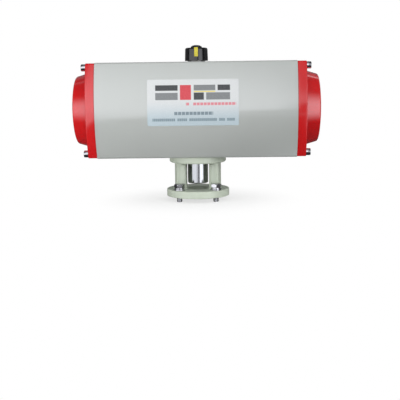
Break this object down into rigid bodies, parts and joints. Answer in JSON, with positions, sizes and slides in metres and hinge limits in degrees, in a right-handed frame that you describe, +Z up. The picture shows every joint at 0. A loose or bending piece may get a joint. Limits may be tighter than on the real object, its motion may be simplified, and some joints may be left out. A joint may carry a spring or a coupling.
{
  "type": "rotary pneumatic actuator",
  "caption": "Spring-return rack-and-pinion rotary pneumatic actuator: silver extruded cylinder, red domed end caps, black position indicator, on a pale green mounting yoke with drive coupling.",
  "frame": {"origin": "centre of the yoke's lower face, on the output axis, where it sits on the valve", "axes": "+Z up along the output axis, X along the cylinder, -Y towards the label, +Y towards the air ports"},
  "size_m": [0.42, 0.1686, 0.2706],
  "materials": {
    "anodised_aluminium": "satin anodised",
    "red_coat": "glossy powder coat",
    "stainless": "bright",
    "polished_steel": "fine turned",
    "plated_steel": "satin nickel plated",
    "spring_steel": "satin",
    "cast_aluminium": "die cast, machined",
    "green_coat": "satin",
    "black_plastic": "semi gloss",
    "yellow_plastic": "satin",
    "acetal": "satin",
    "rubber": "matte",
    "label_film": "satin film"
  },
  "bodies": {
    "housing": {"cylinder_body": "anodised_aluminium", "end_cap_left": "red_coat", "end_cap_right": "red_coat", "cap_screw_left_1": "stainless", "cap_screw_left_2": "stainless", "cap_screw_left_3": "stainless", "cap_screw_left_4": "stainless", "cap_screw_right_1": "stainless", "cap_screw_right_2": "stainless", "cap_screw_right_3": "stainless", "cap_screw_right_4": "stainless", "end_cap_seal_left": "rubber", "end_cap_seal_right": "rubber", "lower_bush": "acetal", "upper_bush": "acetal", "return_spring_left": "spring_steel", "return_spring_right": "spring_steel", "stop_screw_closed": "stainless", "stop_screw_open": "stainless", "stop_nut_closed": "stainless", "stop_nut_open": "stainless", "data_label": "label_film", "mounting_yoke": "green_coat", "yoke_screw_1": "stainless", "yoke_screw_2": "stainless", "yoke_screw_3": "stainless", "yoke_screw_4": "stainless", "flange_bolt_1": "stainless", "flange_bolt_2": "stainless", "flange_bolt_3": "stainless", "flange_bolt_4": "stainless", "flange_spring_washer_1": "stainless", "flange_spring_washer_2": "stainless", "flange_spring_washer_3": "stainless", "flange_spring_washer_4": "stainless", "flange_flat_washer_1": "stainless", "flange_flat_washer_2": "stainless", "flange_flat_washer_3": "stainless", "flange_flat_washer_4": "stainless"},
    "output_shaft": {"pinion_shaft": "plated_steel", "stop_cam": "plated_steel", "shaft_seal_lower": "rubber", "shaft_seal_upper": "rubber", "thrust_washer": "acetal", "retaining_ring": "plated_steel", "indicator_cap": "black_plastic", "indicator_pointer": "yellow_plastic", "indicator_screw": "black_plastic", "drive_coupling": "polished_steel"},
    "piston_left": {"piston_left": "cast_aluminium", "piston_seal_left": "rubber", "wear_ring_left": "acetal", "guide_pad_left": "acetal"},
    "piston_right": {"piston_right": "cast_aluminium", "piston_seal_right": "rubber", "wear_ring_right": "acetal", "guide_pad_right": "acetal"}
  },
  "joints": [
    {"name": "shaft_turn", "type": "hinge", "parent": "housing", "child": "output_shaft", "pos_m": [0, 0, 0.1525], "axis": [0, 0, 1], "range_deg": [0, 90], "stiffness_Nm_per_rad": 11.7, "springref_deg": -152.98},
    {"name": "piston_right_slide", "type": "slide", "parent": "housing", "child": "piston_right", "axis": [1, 0, 0], "range_m": [0, 0.0356], "deforming": ["return_spring_right"]},
    {"name": "piston_left_slide", "type": "slide", "parent": "housing", "child": "piston_left", "axis": [-1, 0, 0], "range_m": [0, 0.0356], "deforming": ["return_spring_left"]}
  ],
  "couplings": [
    {"joint": "piston_right_slide", "follows": "shaft_turn", "m_per_rad": 0.0225},
    {"joint": "piston_left_slide", "follows": "shaft_turn", "m_per_rad": 0.0225}
  ]
}
